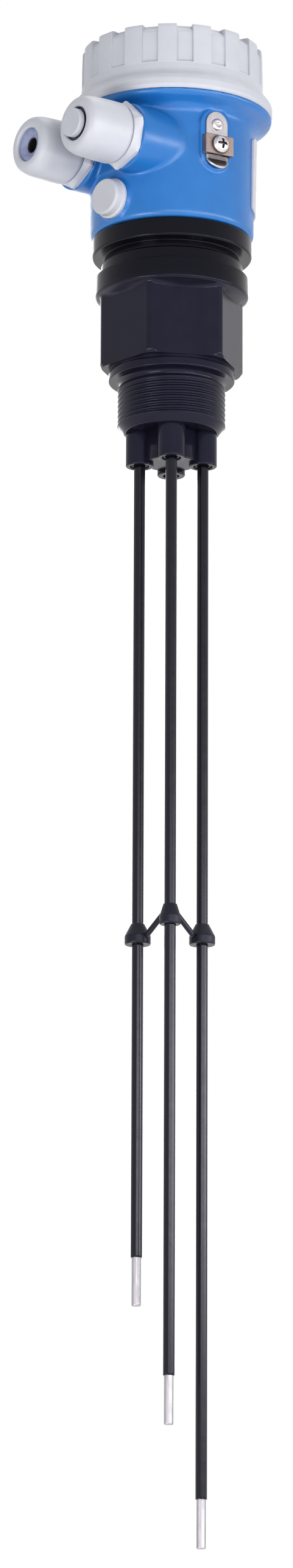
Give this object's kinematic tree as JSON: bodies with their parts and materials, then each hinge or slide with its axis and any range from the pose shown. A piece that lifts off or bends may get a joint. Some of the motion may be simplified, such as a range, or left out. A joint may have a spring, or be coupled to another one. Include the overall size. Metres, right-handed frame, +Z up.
{
  "type": "electrode level switch",
  "caption": "Conductive multi-rod level switch: plastic housing with screw cover and cable glands, threaded process fitting, coated steel electrodes with a spacer.",
  "frame": {"origin": "on the axis of the process thread, in the sealing plane under the shoulder", "axes": "+Z up along the thread's axis towards the cover, -Y to the front, with the cable glands to the front left and the ground terminal to the front right"},
  "size_m": [0.116, 0.1095, 0.673],
  "materials": {
    "black_plastic": "moulded black glass-filled plastic, satin",
    "sleeve_plastic": "extruded black sleeve, semi-gloss",
    "spacer_plastic": "moulded black plastic",
    "rod_steel": "drawn stainless steel bar",
    "small_steel": "zinc plated steel",
    "terminal_steel": "stamped stainless steel",
    "black_rubber": "black elastomer",
    "insert_rubber": "grey-blue elastomer",
    "blue_plastic": "moulded blue plastic, satin",
    "grey_plastic": "moulded light grey plastic, satin",
    "vent_grey": "moulded grey plastic",
    "plate_grey": "bare grey plate",
    "cable_grey": "grey cable jacket",
    "module_plastic": "dark grey moulded case",
    "board_green": "solder mask on laminate",
    "block_green": "green terminal block",
    "relay_white": "off-white relay case",
    "switch_red": "red switch case",
    "control_white": "white plastic",
    "trimmer_blue": "blue trimmer case",
    "light_amber": "amber lens"
  },
  "bodies": {
    "fitting": {"process_fitting": "black_plastic", "electrode_rod_short": "rod_steel", "electrode_rod_medium": "rod_steel", "electrode_rod_long": "rod_steel", "rod_sleeve_short": "sleeve_plastic", "rod_sleeve_medium": "sleeve_plastic", "rod_sleeve_long": "sleeve_plastic", "rod_seals": "black_rubber", "contact_board": "board_green", "rod_nuts": "small_steel", "sensor_cable": "cable_grey", "swivel_seal": "black_rubber", "retaining_ring": "small_steel"},
    "spacer": {"rod_spacer": "spacer_plastic"},
    "housing": {"housing_body": "blue_plastic", "gland_body_plugged": "grey_plastic", "gland_body_open": "grey_plastic", "gland_rings": "black_rubber", "vent_cap": "vent_grey", "nameplate": "plate_grey", "ground_bracket": "terminal_steel", "ground_rivet": "terminal_steel", "electronics_module": "module_plastic", "module_screws": "small_steel", "circuit_board": "board_green", "terminal_block": "block_green", "terminal_screws": "small_steel", "relay": "relay_white", "range_switch": "switch_red", "delay_trimmer": "trimmer_blue", "indicator_lights": "light_amber"},
    "cover_ring": {"cover_seal": "black_rubber"},
    "cover": {"cover": "grey_plastic"},
    "insert_open": {"gland_insert_open": "insert_rubber"},
    "nut_open": {"gland_nut_open": "grey_plastic"},
    "insert_plugged": {"gland_insert_plugged": "insert_rubber"},
    "nut_plugged": {"gland_nut_plugged": "grey_plastic"},
    "plug": {"dust_plug": "grey_plastic"},
    "clamp": {"ground_clamp": "terminal_steel"},
    "clamp_screw": {"ground_screw": "terminal_steel"},
    "slider": {"range_slider": "control_white"},
    "rotor": {"trimmer_rotor": "control_white"}
  },
  "joints": [
    {"name": "housing_swivel", "type": "hinge", "parent": "fitting", "child": "housing", "pos_m": [0, 0, 0.07], "axis": [0, 0, 1], "range_deg": [-165, 165]},
    {"name": "spacer_slide", "type": "slide", "parent": "fitting", "child": "spacer", "axis": [0, 0, 1], "range_m": [-0.13, 0.2]},
    {"name": "cover_rise", "type": "slide", "parent": "housing", "child": "cover_ring", "axis": [0, 0, 1], "range_m": [0, 0.0121]},
    {"name": "cover_turn", "type": "hinge", "parent": "cover_ring", "child": "cover", "pos_m": [0, 0, 0.13], "axis": [0, 0, 1], "range_deg": [0, 1080]},
    {"name": "open_advance", "type": "slide", "parent": "housing", "child": "insert_open", "axis": [-0.788, -0.6157, 0], "range_m": [0, 0.012]},
    {"name": "open_nut_turn", "type": "hinge", "parent": "insert_open", "child": "nut_open", "pos_m": [-0.05563, -0.02138, 0.1019], "axis": [-0.788, -0.6157, 0], "range_deg": [0, 2910]},
    {"name": "plugged_advance", "type": "slide", "parent": "housing", "child": "insert_plugged", "axis": [-0.788, -0.6157, 0], "range_m": [0, 0.012]},
    {"name": "plugged_nut_turn", "type": "hinge", "parent": "insert_plugged", "child": "nut_plugged", "pos_m": [-0.0342, -0.0488, 0.1019], "axis": [-0.788, -0.6157, 0], "range_deg": [0, 2910]},
    {"name": "plug_pull", "type": "slide", "parent": "insert_plugged", "child": "plug", "axis": [-0.788, -0.6157, 0], "range_m": [0, 0.013]},
    {"name": "clamp_slide", "type": "slide", "parent": "housing", "child": "clamp", "axis": [0.515, -0.8572, 0], "range_m": [0, 0.00245]},
    {"name": "ground_screw_turn", "type": "hinge", "parent": "clamp", "child": "clamp_screw", "pos_m": [0, 0, 0.0995], "axis": [0.515, -0.8572, 0], "range_deg": [0, 1275]},
    {"name": "range_select", "type": "slide", "parent": "housing", "child": "slider", "axis": [0, 1, 0], "range_m": [0, 0.0024]},
    {"name": "delay_adjust", "type": "hinge", "parent": "housing", "child": "rotor", "pos_m": [0.0086, 0.0139, 0.097], "axis": [0, 0, 1], "range_deg": [-135, 135]}
  ],
  "couplings": [
    {"joint": "cover_rise", "follows": "cover_turn", "m_per_rad": 0.00063662},
    {"joint": "open_nut_turn", "follows": "open_advance", "rad_per_m": 4188.8},
    {"joint": "plugged_nut_turn", "follows": "plugged_advance", "rad_per_m": 4188.8},
    {"joint": "ground_screw_turn", "follows": "clamp_slide", "rad_per_m": 8976}
  ]
}
